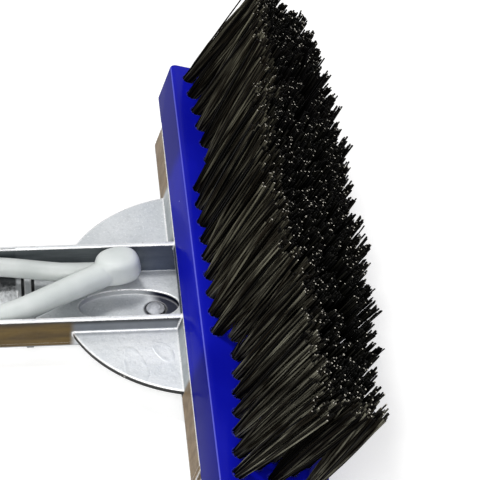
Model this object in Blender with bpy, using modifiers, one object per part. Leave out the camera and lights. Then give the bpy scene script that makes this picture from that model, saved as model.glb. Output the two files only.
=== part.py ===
"""Pool wire brush: an aluminium back casting with a tongue for a pole, a plastic block of bristle tufts
screwed to it, and a sprung V clip whose two buttons lock the pole.

The brush lies on its back with the bristles up. X runs along the block, the handle points to -Y, and
the block tilts back by BLOCK_TILT, so that its tufts lean away from the handle. Heights inside the
casting are measured from the top near edge of the rail, where the casting_frame's origin lies.
"""

import math

import bmesh
import bpy
from mathutils import Matrix, Vector

# Gap that neighbouring pieces keep
SEAT_GAP = 0.0003

# Brush block, in its own tilted frame: X along it, Y across it, Z towards the bristle tips
BLOCK_LENGTH = 0.194
BLOCK_THICKNESS = 0.0135
BLOCK_SHIFT = 0.0017
BLOCK_OVERHANG = 0.004
BLOCK_RECESS = 0.0008
BLOCK_TILT = math.radians(16)
BLOCK_CORNER_RADIUS = 0.0024
BLOCK_EDGE_RADIUS = 0.0006
FACE_BORDER = 0.0022
SLICE_THICKNESS = 0.0013

# Tufts of wire
TUFT_PITCH = 0.0082
ROW_TUFTS = 23
SHORT_ROW_TUFTS = 9
SHORT_ROW_START = -4
BANK_TUFTS = (5, 4, 5, 4, 5)
ROW_SPACING = 0.0066
SHORT_ROW_OFFSET = 0.0121
ROW_END_SPREAD = 0.0042
TIP_HEIGHT = 0.0405
STRAND_RADIUS = 0.0007
TUFT_FOOT_RADIUS = 0.0014
TUFT_TIP_RADIUS = 0.0027
MEAN_LEAN = math.radians(10.5)
MIDDLE_PINCH = math.radians(1.8)
END_PINCH = math.radians(7.4)
END_LEAN = math.radians(14)
SIDE_STRANDS = 4
STRAND_SIDES = 3

# Rail of the casting, which carries the block, in the block's frame
RAIL_LENGTH = 0.160
RAIL_WIDTH = 0.030
RAIL_DEPTH = 0.0082
RAIL_CORNER_RADIUS = 0.003
RAIL_SHIFT = 0.0025
RAIL_PLATE = 0.0024
RAIL_SKIRT = 0.0022
RAIL_RIB = 0.002
RAIL_CENTRE_HALF = 0.020
BOSS_HALF = 0.0052

# Channel between the two upright walls
WALL_SPACING = 0.0334
WALL_THICKNESS = 0.0015
CHANNEL_DEPTH = 0.0128
FLOOR_THICKNESS = 0.0015
CHANNEL_EDGE_RADIUS = 0.0032
SHOULDER_REACH = 0.070
CHANNEL_UNDER_BLOCK = 0.014
WALL_TOP_DROP = 0.00035
WALL_ROOT = 0.001
CHANNEL_BRACE_TOP = 0.005
HOLLOW_BITE = 0.0002
HOLLOW_UNDER_RAIL = 0.007

# Fan plate that braces the rail against the channel
FAN_RADIUS = 0.0456
FAN_CENTRE = 0.0081
FAN_DEPTH = 0.0054
FAN_THICKNESS = 0.0016
FAN_ROOT = 0.0012

# Oval pocket in the channel floor, with a rivet in it
POCKET_CENTRE = 0.0155
POCKET_HALF_LENGTH = 0.0160
POCKET_HALF_WIDTH = 0.0073
POCKET_DEPTH = 0.002
POCKET_WALL = 0.0015
RIVET_REACH = 0.007
RIVET_HEAD_RADIUS = 0.0029
RIVET_HEAD_HEIGHT = 0.0016
RIVET_SEAT_RADIUS = 0.0034
RIVET_SEAT_DEPTH = 0.0007
RIVET_SHANK_RADIUS = 0.0014
RIVET_TAIL_RADIUS = 0.0024
RIVET_TAIL_HEIGHT = 0.0008

# Stop rib across the channel floor, with a groove on each side
RIB_REACH = 0.0472
RIB_WIDTH = 0.0022
RIB_HEIGHT = 0.0009
GROOVE_WIDTH = 0.0008
GROOVE_DEPTH = 0.0007

# Round tongue that a 1 1/4 inch pole slides over
TONGUE_RADIUS = 0.0141
TONGUE_BORE_RADIUS = 0.0126
TONGUE_SLOT_HALF = 0.0109
TROUGH_REACH = 0.0503
TROUGH_END_WALL = 0.0024
SHOULDER_THICKNESS = 0.003
BUTTON_REACH = 0.098
TONGUE_PAST_BUTTON = 0.024
TONGUE_REACH = BUTTON_REACH + TONGUE_PAST_BUTTON
BUTTON_HOLE_RADIUS = 0.0042
BUTTON_HOLE_LEAD = 0.0006

# Spring clip: a knob beside the left wall, and two arms that part from it
KNOB_CENTRE = (-0.0096, -0.0187)
CLIP_HEIGHT = -0.0036
CLIP_RISE_START = 0.060
CLIP_RISE_END = 0.086
KNOB_HALF_WIDTH = 0.0056
KNOB_HALF_LENGTH = 0.0078
KNOB_HALF_HEIGHT = 0.0052
KNOB_ROUNDING = 0.0026
KNOB_TURN = math.radians(14)
ARM_HEIGHT_SHARE = 0.9
ARM_SPLIT = 0.0155
ARM_GAP = 0.0008
ARM_MIDDLE_REACH = 0.0365
ARM_BEND_REACH = 0.0570
ARM_SHOULDER_REACH = 0.070
ARM_PAST_BUTTON = 0.005
ARM_TIP_REACH = BUTTON_REACH + ARM_PAST_BUTTON
ARM_RIGHT_MIDDLE = 0.0004
ARM_LEFT_MIDDLE = -0.0082
ARM_BEND_OFFSET = 0.0116
ARM_TONGUE_OFFSET = 0.0092
ARM_RIGHT_HALF_WIDTH = 0.0035
ARM_LEFT_HALF_WIDTH = 0.0029
ARM_ROOT_HALF_WIDTH = 0.0038
ARM_TIP_HALF_WIDTH = 0.0027
BUTTON_RADIUS = 0.0033
BUTTON_END = 0.0182
BUTTON_ROUNDING = 0.0012

# Screws that hold the block to the rail
SCREW_PLACES = (
    (-0.070, 0.015), (-0.040, 0.015), (-0.010, 0.0225), (0.010, 0.0225), (0.040, 0.015), (0.070, 0.015)
)
SCREW_HEAD_RADIUS = 0.0032
SCREW_HEAD_HEIGHT = 0.002
SCREW_RADIUS = 0.0016
SCREW_HOLE_RADIUS = 0.0019
SCREW_REACH = 0.0085
SCREW_SEAT = 0.0036
COUNTERBORE_RADIUS = 0.0036

# Reach of a cutter past the surface that it opens
CLEAR = 0.004

ROUND_STEPS = 32
FINE_STEPS = 72

BLOCK_WIDTH = RAIL_WIDTH + BLOCK_OVERHANG
CHANNEL_HALF = (WALL_SPACING + WALL_THICKNESS) / 2
CHANNEL_INNER_HALF = (WALL_SPACING - WALL_THICKNESS) / 2
FLOOR_TOP = FLOOR_THICKNESS - CHANNEL_DEPTH
ACROSS = Vector((0, math.cos(BLOCK_TILT), -math.sin(BLOCK_TILT)))
TOWARDS_TIPS = Vector((0, math.sin(BLOCK_TILT), math.cos(BLOCK_TILT)))
REST_HEIGHT = RAIL_WIDTH * math.sin(BLOCK_TILT) + RAIL_DEPTH * math.cos(BLOCK_TILT)
TONGUE_AXIS = TONGUE_RADIUS - REST_HEIGHT
BLOCK_BACK = SEAT_GAP
BLOCK_FACE = BLOCK_BACK + BLOCK_THICKNESS


def clear_scene():
    for obj in list(bpy.data.objects):
        bpy.data.objects.remove(obj)


def collection(name):
    made = bpy.data.collections.new(name)
    bpy.context.scene.collection.children.link(made)
    return made


def material(name, colour, roughness, metallic=0.0):
    made = bpy.data.materials.new(name)
    made.use_nodes = True
    shader = made.node_tree.nodes["Principled BSDF"]
    shader.inputs["Base Color"].default_value = (*colour, 1)
    shader.inputs["Roughness"].default_value = roughness
    shader.inputs["Metallic"].default_value = metallic
    return made


def empty(name, parent=None, location=(0, 0, 0), tilt=0.0):
    made = bpy.data.objects.new(name, None)
    made.parent = parent
    made.location = location
    made.rotation_euler = (tilt, 0, 0)
    PARTS.objects.link(made)
    return made


def mesh_object(name, bm, parent, surface=None):
    """One object from a bmesh; without a surface it is a cutter or an inner helper."""
    bmesh.ops.recalc_face_normals(bm, faces=bm.faces)
    mesh = bpy.data.meshes.new(name)
    bm.to_mesh(mesh)
    bm.free()
    made = bpy.data.objects.new(name, mesh)
    made.parent = parent
    (PARTS if surface else HELPERS).objects.link(made)
    if surface:
        mesh.materials.append(surface)
        mesh.shade_smooth()
        mesh.set_sharp_from_angle(angle=math.radians(35))
    else:
        made.hide_render = True
        made.display_type = "WIRE"
    return made


def add_box(bm, low, high):
    """A box between two corners, added to the bmesh."""
    low, high = Vector(low), Vector(high)
    size = high - low
    place = Matrix.Translation((low + high) / 2) @ Matrix.Diagonal((*size, 1))
    return bmesh.ops.create_cube(bm, size=1, matrix=place)["verts"]


def box(low, high):
    bm = bmesh.new()
    add_box(bm, low, high)
    return bm


def add_cylinder(bm, start, end, radius, end_radius=None, steps=ROUND_STEPS):
    start, end = Vector(start), Vector(end)
    along = end - start
    place = Matrix.Translation((start + end) / 2) @ along.to_track_quat("Z", "Y").to_matrix().to_4x4()
    far = radius if end_radius is None else end_radius
    bmesh.ops.create_cone(
        bm, cap_ends=True, segments=steps, radius1=radius, radius2=far, depth=along.length, matrix=place
    )


def cylinder(start, end, radius, steps=ROUND_STEPS):
    bm = bmesh.new()
    add_cylinder(bm, start, end, radius, steps=steps)
    return bm


def round_edges(bm, radius, along=None, segments=3, keep=None):
    """Bevels the edges that run along one axis, or all of them; keep narrows them by their middle."""
    chosen = []
    for edge in bm.edges:
        a, b = edge.verts[0].co, edge.verts[1].co
        run = (b - a).normalized()
        if along is not None and abs(run[along]) < 0.99:
            continue
        if keep and not keep((a + b) / 2):
            continue
        chosen.append(edge)
    bmesh.ops.bevel(bm, geom=chosen, offset=radius, segments=segments, affect="EDGES", profile=0.5)


def turned(name, profile, place, parent, surface):
    """A solid turned about Z from a profile that runs down its outer side, top to bottom."""
    bm = bmesh.new()
    last = None
    for radius, height in profile:
        vert = bm.verts.new((radius, 0, height))
        if last:
            bm.edges.new((last, vert))
        last = vert
    mesh = bpy.data.meshes.new(name)
    bm.to_mesh(mesh)
    bm.free()
    made = bpy.data.objects.new(name, mesh)
    made.parent = parent
    made.location = place
    mesh.materials.append(surface)
    PARTS.objects.link(made)
    screw = made.modifiers.new("Screw", "SCREW")
    screw.axis = "Z"
    screw.steps = ROUND_STEPS
    screw.render_steps = ROUND_STEPS
    screw.use_merge_vertices = True
    screw.merge_threshold = 0.00001
    screw.use_smooth_shade = False
    return made


def extruded(points, thickness):
    """A flat outline in X and Y, closed into a plate that is thickness deep below Z zero."""
    bm = bmesh.new()
    face = bm.faces.new([bm.verts.new((x, y, 0)) for x, y in points])
    grown = bmesh.ops.extrude_face_region(bm, geom=[face])["geom"]
    moved = [item for item in grown if isinstance(item, bmesh.types.BMVert)]
    bmesh.ops.translate(bm, verts=moved, vec=(0, 0, -thickness))
    return bm


def arc(centre, radius, start, end, steps):
    """Points along an arc; radius is one number, or one for X and one for Y."""
    rx, ry = radius if isinstance(radius, tuple) else (radius, radius)
    turns = [start + (end - start) * step / steps for step in range(steps + 1)]
    return [(centre[0] + rx * math.cos(turn), centre[1] + ry * math.sin(turn)) for turn in turns]


def boolean(target, other, operation):
    modifier = target.modifiers.new(f"{operation} {other.name}", "BOOLEAN")
    modifier.operation = operation
    modifier.object = other
    modifier.solver = "EXACT"


def moved_down(bm, depth):
    bmesh.ops.translate(bm, verts=bm.verts, vec=(0, 0, -depth))
    return bm


def rail():
    bm = box((-RAIL_LENGTH / 2, 0, -RAIL_DEPTH), (RAIL_LENGTH / 2, RAIL_WIDTH, 0))
    round_edges(bm, RAIL_CORNER_RADIUS, along=2)
    return bm


def rail_pockets():
    """Pockets in the rail's underside, between its skirt, its long rib and the solid screw bosses."""
    bosses = sorted(abs(x) for x, y in SCREW_PLACES if x > RAIL_CENTRE_HALF)
    starts = [RAIL_CENTRE_HALF] + [place + BOSS_HALF for place in bosses]
    ends = [place - BOSS_HALF for place in bosses]
    rib_near, rib_far = (RAIL_WIDTH - RAIL_RIB) / 2, (RAIL_WIDTH + RAIL_RIB) / 2
    lanes = ((RAIL_SKIRT, rib_near), (rib_far, RAIL_WIDTH - RAIL_SKIRT))
    bm = bmesh.new()
    for start, end in zip(starts, ends):
        middle = (start + end) / 2
        for low, high in ((start, middle - RAIL_RIB / 2), (middle + RAIL_RIB / 2, end)):
            for near, far in lanes:
                for side in (-1, 1):
                    xs = sorted((side * low, side * high))
                    add_box(bm, (xs[0], near, -RAIL_DEPTH - CLEAR), (xs[1], far, -RAIL_PLATE))
    return bm


def screw_holes():
    bm = bmesh.new()
    for x, y in SCREW_PLACES:
        add_cylinder(bm, (x, y, -RAIL_DEPTH - CLEAR), (x, y, -SCREW_SEAT), COUNTERBORE_RADIUS)
    return bm


def screw_shank_holes(low, high):
    bm = bmesh.new()
    for x, y in SCREW_PLACES:
        add_cylinder(bm, (x, y, low), (x, y, high), SCREW_HOLE_RADIUS, steps=ROUND_STEPS // 2)
    return bm


def channel_block():
    """The channel before it is hollowed: it roots in the rail's near side and runs on below it as a brace."""
    drop = -WALL_TOP_DROP
    brace = -CHANNEL_BRACE_TOP
    profile = [
        (-SHOULDER_REACH - SHOULDER_THICKNESS, drop), (-SHOULDER_REACH - SHOULDER_THICKNESS, -CHANNEL_DEPTH),
        (CHANNEL_UNDER_BLOCK, -CHANNEL_DEPTH), (CHANNEL_UNDER_BLOCK, brace),
        (root_reach(WALL_ROOT, brace), brace), (root_reach(WALL_ROOT, drop), drop),
    ]
    bm = bmesh.new()
    face = bm.faces.new([bm.verts.new((-CHANNEL_HALF, y, z)) for y, z in profile])
    grown = bmesh.ops.extrude_face_region(bm, geom=[face])["geom"]
    moved = [item for item in grown if isinstance(item, bmesh.types.BMVert)]
    bmesh.ops.translate(bm, verts=moved, vec=(2 * CHANNEL_HALF, 0, 0))
    round_edges(bm, CHANNEL_EDGE_RADIUS, along=1, segments=4, keep=lambda middle: middle.z < FLOOR_TOP)
    return bm


def root_reach(depth, z):
    """Y at height z of a plane that lies depth inside the rail's near side."""
    return (depth + z * math.sin(BLOCK_TILT)) / math.cos(BLOCK_TILT)


def channel_hollow():
    """The space between the walls; its end under the block follows the tilted side of the rail."""
    bm = box(
        (-CHANNEL_INNER_HALF, -SHOULDER_REACH, FLOOR_TOP),
        (CHANNEL_INNER_HALF, CHANNEL_UNDER_BLOCK, TONGUE_RADIUS),
    )
    cut = bmesh.ops.bisect_plane(
        bm, geom=bm.verts[:] + bm.edges[:] + bm.faces[:], plane_co=ACROSS * HOLLOW_BITE, plane_no=ACROSS,
        clear_outer=True,
    )["geom_cut"]
    rim = [item for item in cut if isinstance(item, bmesh.types.BMEdge)]
    bmesh.ops.contextual_create(bm, geom=rim)
    return bm


def hollow_under_rail():
    """Where the channel runs on below the rail's top plate, whose near edge spans it like a bridge."""
    bm = box(
        (-CHANNEL_INNER_HALF, -SHOULDER_REACH / 2, FLOOR_TOP),
        (CHANNEL_INNER_HALF, HOLLOW_UNDER_RAIL, TONGUE_RADIUS),
    )
    cut = bmesh.ops.bisect_plane(
        bm, geom=bm.verts[:] + bm.edges[:] + bm.faces[:], plane_co=-TOWARDS_TIPS * RAIL_PLATE,
        plane_no=TOWARDS_TIPS, clear_outer=True,
    )["geom_cut"]
    rim = [item for item in cut if isinstance(item, bmesh.types.BMEdge)]
    bmesh.ops.contextual_create(bm, geom=rim)
    return bm


def fan():
    """The part of a disc that lies on the handle's side of the rail."""
    behind = math.asin((FAN_CENTRE + FAN_ROOT) / FAN_RADIUS)
    points = arc((0, FAN_CENTRE), FAN_RADIUS, math.pi + behind, 2 * math.pi - behind, FINE_STEPS)
    return moved_down(extruded(points, FAN_THICKNESS), FAN_DEPTH)


def oval(half_width, half_length, top, depth):
    points = arc((0, -POCKET_CENTRE), (half_width, half_length), 0, 2 * math.pi, FINE_STEPS)[:-1]
    return moved_down(extruded(points, depth), -top)


def stop_rib():
    half_length = CHANNEL_INNER_HALF + WALL_THICKNESS / 2
    return box(
        (-half_length, -RIB_REACH - RIB_WIDTH / 2, FLOOR_TOP - FLOOR_THICKNESS / 2),
        (half_length, -RIB_REACH + RIB_WIDTH / 2, FLOOR_TOP + RIB_HEIGHT),
    )


def grooves():
    bm = bmesh.new()
    edges = (-RIB_REACH - RIB_WIDTH / 2 - GROOVE_WIDTH, -RIB_REACH + RIB_WIDTH / 2)
    for edge in edges:
        add_box(
            bm,
            (-CHANNEL_INNER_HALF + WALL_THICKNESS, edge, FLOOR_TOP - GROOVE_DEPTH),
            (CHANNEL_INNER_HALF - WALL_THICKNESS, edge + GROOVE_WIDTH, FLOOR_TOP + CLEAR),
        )
    return bm


def back_casting():
    """Rail, channel, fan, shoulder and tongue, cast in one."""
    made = mesh_object("back_casting", rail(), BLOCK_FRAME, ALUMINIUM)

    def add(name, bm, frame=CASTING_FRAME):
        boolean(made, mesh_object(name, bm, frame), "UNION")

    def cut(name, bm, frame=CASTING_FRAME):
        boolean(made, mesh_object(name, bm, frame), "DIFFERENCE")

    tongue_start = (0, -TROUGH_REACH + TROUGH_END_WALL, TONGUE_AXIS)
    tongue_end = (0, -TONGUE_REACH, TONGUE_AXIS)
    bore_start = (0, -TROUGH_REACH, TONGUE_AXIS)
    bore_end = (0, -TONGUE_REACH - CLEAR, TONGUE_AXIS)
    boss_floor = FLOOR_TOP - POCKET_DEPTH - POCKET_WALL
    add("channel_block", channel_block())
    add("fan_plate", fan())
    add("pocket_boss", oval(
        POCKET_HALF_WIDTH + POCKET_WALL, POCKET_HALF_LENGTH + POCKET_WALL,
        FLOOR_TOP - FLOOR_THICKNESS / 2, FLOOR_TOP - FLOOR_THICKNESS / 2 - boss_floor,
    ))
    add("tongue_rod", cylinder(tongue_start, tongue_end, TONGUE_RADIUS, FINE_STEPS))
    cut("channel_hollow", channel_hollow())
    cut("under_rail", hollow_under_rail())
    cut("tongue_bore", cylinder(bore_start, bore_end, TONGUE_BORE_RADIUS, FINE_STEPS))
    cut("tongue_slot", box(
        (-TONGUE_SLOT_HALF, -TONGUE_REACH - CLEAR, TONGUE_AXIS),
        (TONGUE_SLOT_HALF, -SHOULDER_REACH + CLEAR, TONGUE_AXIS + 2 * TONGUE_RADIUS),
    ))
    cut("pocket", oval(
        POCKET_HALF_WIDTH, POCKET_HALF_LENGTH, FLOOR_TOP + GROOVE_DEPTH, GROOVE_DEPTH + POCKET_DEPTH
    ))
    cut("grooves", grooves())
    add("stop_rib", stop_rib())
    hole_y = -BUTTON_REACH - BUTTON_HOLE_LEAD
    cut("button_holes", cylinder(
        (-CHANNEL_HALF, hole_y, TONGUE_AXIS), (CHANNEL_HALF, hole_y, TONGUE_AXIS), BUTTON_HOLE_RADIUS
    ))
    seat_floor = FLOOR_TOP - POCKET_DEPTH - RIVET_SEAT_DEPTH
    cut("rivet_seat", cylinder(
        (0, -RIVET_REACH, seat_floor), (0, -RIVET_REACH, FLOOR_TOP), RIVET_SEAT_RADIUS
    ))
    cut("rivet_hole", cylinder(
        (0, -RIVET_REACH, boss_floor - CLEAR), (0, -RIVET_REACH, FLOOR_TOP),
        RIVET_SHANK_RADIUS + SEAT_GAP, ROUND_STEPS // 2,
    ))
    cut("rail_pockets", rail_pockets(), BLOCK_FRAME)
    cut("counterbores", screw_holes(), BLOCK_FRAME)
    cut("shank_holes", screw_shank_holes(-RAIL_DEPTH, CLEAR), BLOCK_FRAME)
    return made


def brush_block():
    """The plastic block: a recess in its back for the rail, and one in its face for the tufts' slices."""
    bm = box(
        (-BLOCK_LENGTH / 2, 0, BLOCK_BACK - BLOCK_RECESS), (BLOCK_LENGTH / 2, BLOCK_WIDTH, BLOCK_FACE)
    )
    round_edges(bm, BLOCK_CORNER_RADIUS, along=2, segments=5)
    made = mesh_object("brush_block", bm, BRISTLE_FRAME, BLUE_PLASTIC)
    seat = box(
        (-RAIL_LENGTH / 2 - SEAT_GAP, -CLEAR, BLOCK_BACK - CLEAR),
        (RAIL_LENGTH / 2 + SEAT_GAP, BLOCK_WIDTH + CLEAR, BLOCK_BACK),
    )
    boolean(made, mesh_object("rail_seat", seat, BLOCK_FRAME), "DIFFERENCE")
    pocket = box(
        (-BLOCK_LENGTH / 2 + FACE_BORDER, FACE_BORDER, BLOCK_FACE - SLICE_THICKNESS - SEAT_GAP),
        (BLOCK_LENGTH / 2 - FACE_BORDER, BLOCK_WIDTH - FACE_BORDER, BLOCK_FACE + CLEAR),
    )
    boolean(made, mesh_object("face_pocket", pocket, BRISTLE_FRAME), "DIFFERENCE")
    pilots = screw_shank_holes(-CLEAR, SCREW_REACH + SEAT_GAP)
    boolean(made, mesh_object("pilot_holes", pilots, BLOCK_FRAME), "DIFFERENCE")
    edge = made.modifiers.new("Bevel", "BEVEL")
    edge.width = BLOCK_EDGE_RADIUS
    edge.segments = 2
    edge.limit_method = "ANGLE"
    edge.angle_limit = math.radians(60)
    return made


def tuft_places():
    """(x, across) of each tuft: three long rows that part towards the ends, and a short one outside each."""
    middle = BLOCK_WIDTH / 2
    reach = TUFT_PITCH * (ROW_TUFTS - 1) / 2
    places = []
    for row in (-1, 0, 1):
        stagger = TUFT_PITCH / 4 * (1 if row else -1)
        for index in range(ROW_TUFTS):
            x = TUFT_PITCH * index - reach
            share = max(0, abs(x) - reach / 2) / (reach / 2)
            apart = ROW_SPACING + ROW_END_SPREAD * share
            places.append((x + stagger * (1 - abs(x) / reach), middle + row * apart))
    for row in (-1, 1):
        for index in range(SHORT_ROW_TUFTS):
            x = TUFT_PITCH * (index + SHORT_ROW_START)
            places.append((x, middle + row * SHORT_ROW_OFFSET))
    return places


def tuft_lean(x, across):
    """How far a tuft leans across the block: the rows draw together at their tips, most at the ends."""
    pinch = MIDDLE_PINCH + (END_PINCH - MIDDLE_PINCH) * (2 * x / BLOCK_LENGTH) ** 2
    return MEAN_LEAN - pinch * (2 * across / BLOCK_WIDTH - 1)


def tuft_strands(x, across):
    """(foot, tip) of each strand of one tuft: one in its middle, and the others round it, flaring out."""
    lean = tuft_lean(x, across)
    side = END_LEAN * 2 * x / BLOCK_LENGTH
    foot = Vector((x, across, BLOCK_FACE - SLICE_THICKNESS / 2))
    tip_x, tip_across = x + TIP_HEIGHT * math.tan(side), across + TIP_HEIGHT * math.tan(lean)
    tip = Vector((tip_x, tip_across, BLOCK_FACE + TIP_HEIGHT))
    yield foot, tip
    for index in range(SIDE_STRANDS):
        turn = 2 * math.pi * (index + 0.5) / SIDE_STRANDS
        out = Vector((math.cos(turn), math.sin(turn), 0))
        yield foot + out * TUFT_FOOT_RADIUS, tip + out * TUFT_TIP_RADIUS


def bristle_banks():
    """The tufts, in banks along the block, each fused to its own slice of the block's face."""
    pocket_end = BLOCK_LENGTH / 2 - FACE_BORDER - SEAT_GAP / 2
    low_y = FACE_BORDER + SEAT_GAP
    high_y = BLOCK_WIDTH - FACE_BORDER - SEAT_GAP
    borders = [-pocket_end]
    passed = 0
    for count in BANK_TUFTS[:-1]:
        passed += count
        borders.append(TUFT_PITCH * (passed - ROW_TUFTS / 2))
    borders.append(pocket_end)
    for bank in range(len(BANK_TUFTS)):
        start, end = borders[bank], borders[bank + 1]
        low = (start + SEAT_GAP / 2, low_y, BLOCK_FACE - SLICE_THICKNESS)
        high = (end - SEAT_GAP / 2, high_y, BLOCK_FACE)
        name = f"bristle_bank_{bank + 1}"
        made = mesh_object(name, box(low, high), BRISTLE_FRAME, BRISTLE)
        bm = bmesh.new()
        for x, across in tuft_places():
            if start <= x < end:
                for foot, tip in tuft_strands(x, across):
                    add_cylinder(bm, foot, tip, STRAND_RADIUS, steps=STRAND_SIDES)
        boolean(made, mesh_object(f"{name}_strands", bm, BRISTLE_FRAME), "UNION")


def screws():
    head_top = -SCREW_SEAT - SEAT_GAP
    head_low = head_top - SCREW_HEAD_HEIGHT
    dome = SCREW_HEAD_HEIGHT / 3
    for index, (x, y) in enumerate(SCREW_PLACES):
        profile = [
            (0, SCREW_REACH), (SCREW_RADIUS / 2, SCREW_REACH), (SCREW_RADIUS, SCREW_REACH - SCREW_RADIUS),
            (SCREW_RADIUS, head_top), (SCREW_HEAD_RADIUS, head_top), (SCREW_HEAD_RADIUS, head_low + dome),
            (SCREW_HEAD_RADIUS - dome, head_low), (0, head_low),
        ]
        turned(f"block_screw_{index + 1}", profile, (x, y, 0), BLOCK_FRAME, STEEL)


def pocket_rivet():
    floor = FLOOR_TOP - POCKET_DEPTH
    under = floor - POCKET_WALL
    head = floor - RIVET_SEAT_DEPTH + SEAT_GAP
    tail = under - SEAT_GAP
    profile = [
        (0, head + RIVET_HEAD_HEIGHT), (RIVET_HEAD_RADIUS / 2, head + RIVET_HEAD_HEIGHT * 0.9),
        (RIVET_HEAD_RADIUS, head + RIVET_HEAD_HEIGHT / 2), (RIVET_HEAD_RADIUS, head),
        (RIVET_SHANK_RADIUS, head),
        (RIVET_SHANK_RADIUS, tail), (RIVET_TAIL_RADIUS, tail),
        (RIVET_TAIL_RADIUS, tail - RIVET_TAIL_HEIGHT), (0, tail - RIVET_TAIL_HEIGHT),
    ]
    turned("pocket_rivet", profile, (0, -RIVET_REACH, 0), CASTING_FRAME, STEEL)


def clip_height(y):
    """Height of the clip's centre line, which climbs from the knob to the buttons."""
    share = min(1, max(0, (-y - CLIP_RISE_START) / (CLIP_RISE_END - CLIP_RISE_START)))
    return CLIP_HEIGHT + (TONGUE_AXIS - CLIP_HEIGHT) * share


def arm_route(side):
    """Centre line of one arm from the knob to its tip, through a few places that a smooth curve follows."""
    places = [
        KNOB_CENTRE,
        (ARM_RIGHT_MIDDLE if side > 0 else ARM_LEFT_MIDDLE, -ARM_MIDDLE_REACH),
        (side * ARM_BEND_OFFSET, -ARM_BEND_REACH),
        (side * ARM_TONGUE_OFFSET, -ARM_SHOULDER_REACH),
        (side * ARM_TONGUE_OFFSET, -BUTTON_REACH + BUTTON_RADIUS * 2),
        (side * ARM_TONGUE_OFFSET, -ARM_TIP_REACH),
    ]
    return [Vector((x, y, clip_height(y))) for x, y in places]


def smooth_route(points, steps):
    """Points along a curve through each given point, with tangents taken from the neighbours."""
    route = []
    for index in range(len(points) - 1):
        before = points[max(index - 1, 0)]
        start, end = points[index], points[index + 1]
        after = points[min(index + 2, len(points) - 1)]
        for step in range(steps):
            t = step / steps
            route.append(0.5 * (
                2 * start + (end - before) * t + (2 * before - 5 * start + 4 * end - after) * t ** 2
                + (3 * start - before - 3 * end + after) * t ** 3
            ))
    return route + [points[-1]]


def tube(name, route, half_widths, level, parent, surface=None):
    """A mesh tube along a level route, with its half width given at each point, flattened a little."""
    widest = max(half_widths)
    curve = bpy.data.curves.new(name, "CURVE")
    curve.dimensions = "3D"
    curve.bevel_depth = widest
    curve.bevel_resolution = 3
    curve.use_fill_caps = True
    spline = curve.splines.new("POLY")
    spline.points.add(len(route) - 1)
    for point, place, half_width in zip(spline.points, route, half_widths):
        point.co = (place.x, place.y, (place.z - level) / ARM_HEIGHT_SHARE, 1)
        point.radius = half_width / widest
    drawn = bpy.data.objects.new(name, curve)
    HELPERS.objects.link(drawn)
    bpy.context.view_layer.update()
    evaluated = drawn.evaluated_get(bpy.context.evaluated_depsgraph_get())
    mesh = bpy.data.meshes.new_from_object(evaluated)
    bpy.data.objects.remove(drawn)
    bm = bmesh.new()
    bm.from_mesh(mesh)
    bmesh.ops.remove_doubles(bm, verts=bm.verts, dist=ARM_TIP_HALF_WIDTH / 1000)
    place = Matrix.Translation((0, 0, level)) @ Matrix.Diagonal((1, 1, ARM_HEIGHT_SHARE, 1))
    bmesh.ops.transform(bm, matrix=place, verts=bm.verts)
    return mesh_object(name, bm, parent, surface)


def arm_half_widths(route, side):
    """The arms thin from their root to their middle, and again where they enter the tongue."""
    middle = ARM_RIGHT_HALF_WIDTH if side > 0 else ARM_LEFT_HALF_WIDTH
    stations = (
        (-KNOB_CENTRE[1], min(ARM_ROOT_HALF_WIDTH, middle + ARM_GAP)),
        (ARM_MIDDLE_REACH, middle), (ARM_BEND_REACH, middle),
        (ARM_SHOULDER_REACH, ARM_TIP_HALF_WIDTH), (ARM_TIP_REACH, ARM_TIP_HALF_WIDTH),
    )
    widths = []
    for place in route:
        index = sum(-place.y >= reach for reach, width in stations[1:-1])
        (start, first), (end, last) = stations[index], stations[index + 1]
        share = min(1, max(0, (-place.y - start) / (end - start)))
        widths.append(first + (last - first) * share)
    return widths


def knob(pivot):
    """The rounded drum that joins the two arms."""
    bm = bmesh.new()
    add_cylinder(bm, (0, 0, -KNOB_HALF_HEIGHT), (0, 0, KNOB_HALF_HEIGHT), KNOB_HALF_WIDTH)
    rims = [
        edge for edge in bm.edges if abs(edge.verts[0].co.z - edge.verts[1].co.z) < KNOB_ROUNDING / 2
    ]
    bmesh.ops.bevel(bm, geom=rims, offset=KNOB_ROUNDING, segments=4, affect="EDGES", profile=0.5)
    place = Matrix.Translation(pivot) @ Matrix.Rotation(KNOB_TURN, 4, "Z")
    stretch = Matrix.Diagonal((1, KNOB_HALF_LENGTH / KNOB_HALF_WIDTH, 1, 1))
    bmesh.ops.transform(bm, matrix=place @ stretch, verts=bm.verts)
    return bm


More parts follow.
